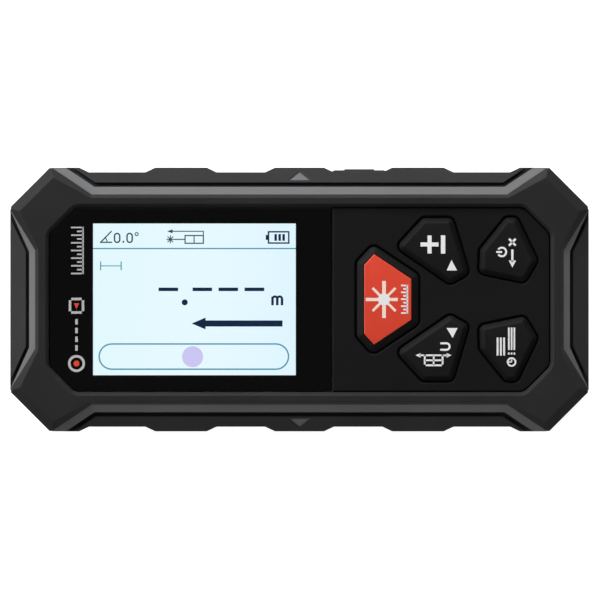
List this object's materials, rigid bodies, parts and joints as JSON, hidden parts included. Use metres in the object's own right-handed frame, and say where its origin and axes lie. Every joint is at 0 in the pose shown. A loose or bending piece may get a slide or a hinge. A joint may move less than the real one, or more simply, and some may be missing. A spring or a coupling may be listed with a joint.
{
  "type": "laser distance meter",
  "caption": "Handheld laser distance meter: rubber armoured rectangular case with lit display, sprung keys, hinged charging cover, tripod thread and end optics.",
  "frame": {"origin": "middle of the back, on the plane that the meter rests on when it lies face up", "axes": "+Z out of the display face, -X the way the laser leaves, +Y the side with the charging socket"},
  "size_m": [0.116, 0.053, 0.027],
  "materials": {
    "shell": "fine moulded texture",
    "armour": "satin rubber, fine texture",
    "gasket": "soft silicone",
    "window": "clear, polished",
    "mask": "printed black",
    "screen": "lit colour display",
    "white_plastic": "moulded",
    "flex": "polyimide film",
    "panel": "matt black",
    "board": "solder mask",
    "chip": "moulded epoxy",
    "steel": "plated",
    "cell": "foil pouch",
    "red_wire": "insulated",
    "black_wire": "insulated",
    "carrier": "glass filled",
    "lens": "coated glass",
    "brass": "turned",
    "bezel": "gloss black",
    "screw": "black oxide",
    "label": "blank printed film",
    "red_key": "hard red cap",
    "keys": "matt silicone",
    "pill": "carbon"
  },
  "bodies": {
    "case": {"front_shell": "shell", "rear_shell": "shell", "front_bumper": "armour", "rear_bumper": "armour", "front_grip_usb_side": "armour", "front_grip_plain_side": "armour", "front_grip_laser_end": "armour", "front_grip_base_end": "armour", "rear_grip_usb_side": "armour", "rear_grip_plain_side": "armour", "rear_grip_laser_end": "armour", "rear_grip_base_end": "armour", "case_gasket": "gasket", "display_window": "window", "window_mask": "mask", "lcd_glass": "screen", "lcd_backlight": "white_plastic", "lcd_flex": "flex", "keypad_panel": "panel", "keypad_mat": "gasket", "main_board": "board", "board_chips": "chip", "usb_socket": "steel", "buzzer": "chip", "battery_cell": "cell", "battery_pad": "gasket", "battery_header": "white_plastic", "battery_plug": "white_plastic", "battery_lead_red": "red_wire", "battery_lead_black": "black_wire", "optics_carrier": "carrier", "receiver_lens": "lens", "laser_barrel": "brass", "collimator_lens": "lens", "laser_diode": "steel", "apd_board": "board", "apd_sensor": "steel", "optics_bezel": "bezel", "optics_window": "lens", "board_screws": "steel", "optics_screws": "steel", "case_screws": "screw", "tripod_insert": "brass", "rating_label": "label"},
    "cover": {"usb_cover": "armour"},
    "measure_key": {"key_measure": "keys", "contact_pill_measure": "pill", "key_measure_cap": "red_key"},
    "plus_minus_key": {"key_plus_minus": "keys", "contact_pill_plus_minus": "pill"},
    "area_unit_key": {"key_area_unit": "keys", "contact_pill_area_unit": "pill"},
    "off_clear_key": {"key_off_clear": "keys", "contact_pill_off_clear": "pill"},
    "fun_record_key": {"key_fun_record": "keys", "contact_pill_fun_record": "pill"}
  },
  "joints": [
    {"name": "measure_press", "type": "slide", "parent": "case", "child": "measure_key", "axis": [0, 0, -1], "range_m": [0, 0.0008], "stiffness_N_per_m": 1000, "springref_m": -0.0003},
    {"name": "plus_minus_press", "type": "slide", "parent": "case", "child": "plus_minus_key", "axis": [0, 0, -1], "range_m": [0, 0.0008], "stiffness_N_per_m": 1000, "springref_m": -0.0003},
    {"name": "area_unit_press", "type": "slide", "parent": "case", "child": "area_unit_key", "axis": [0, 0, -1], "range_m": [0, 0.0008], "stiffness_N_per_m": 1000, "springref_m": -0.0003},
    {"name": "off_clear_press", "type": "slide", "parent": "case", "child": "off_clear_key", "axis": [0, 0, -1], "range_m": [0, 0.0008], "stiffness_N_per_m": 1000, "springref_m": -0.0003},
    {"name": "fun_record_press", "type": "slide", "parent": "case", "child": "fun_record_key", "axis": [0, 0, -1], "range_m": [0, 0.0008], "stiffness_N_per_m": 1000, "springref_m": -0.0003},
    {"name": "cover_hinge", "type": "hinge", "parent": "case", "child": "cover", "pos_m": [0.012, 0.02525, 0.015], "axis": [-1, 0, 0], "range_deg": [0, 100], "stiffness_Nm_per_rad": 0.002, "springref_deg": -5.73}
  ]
}
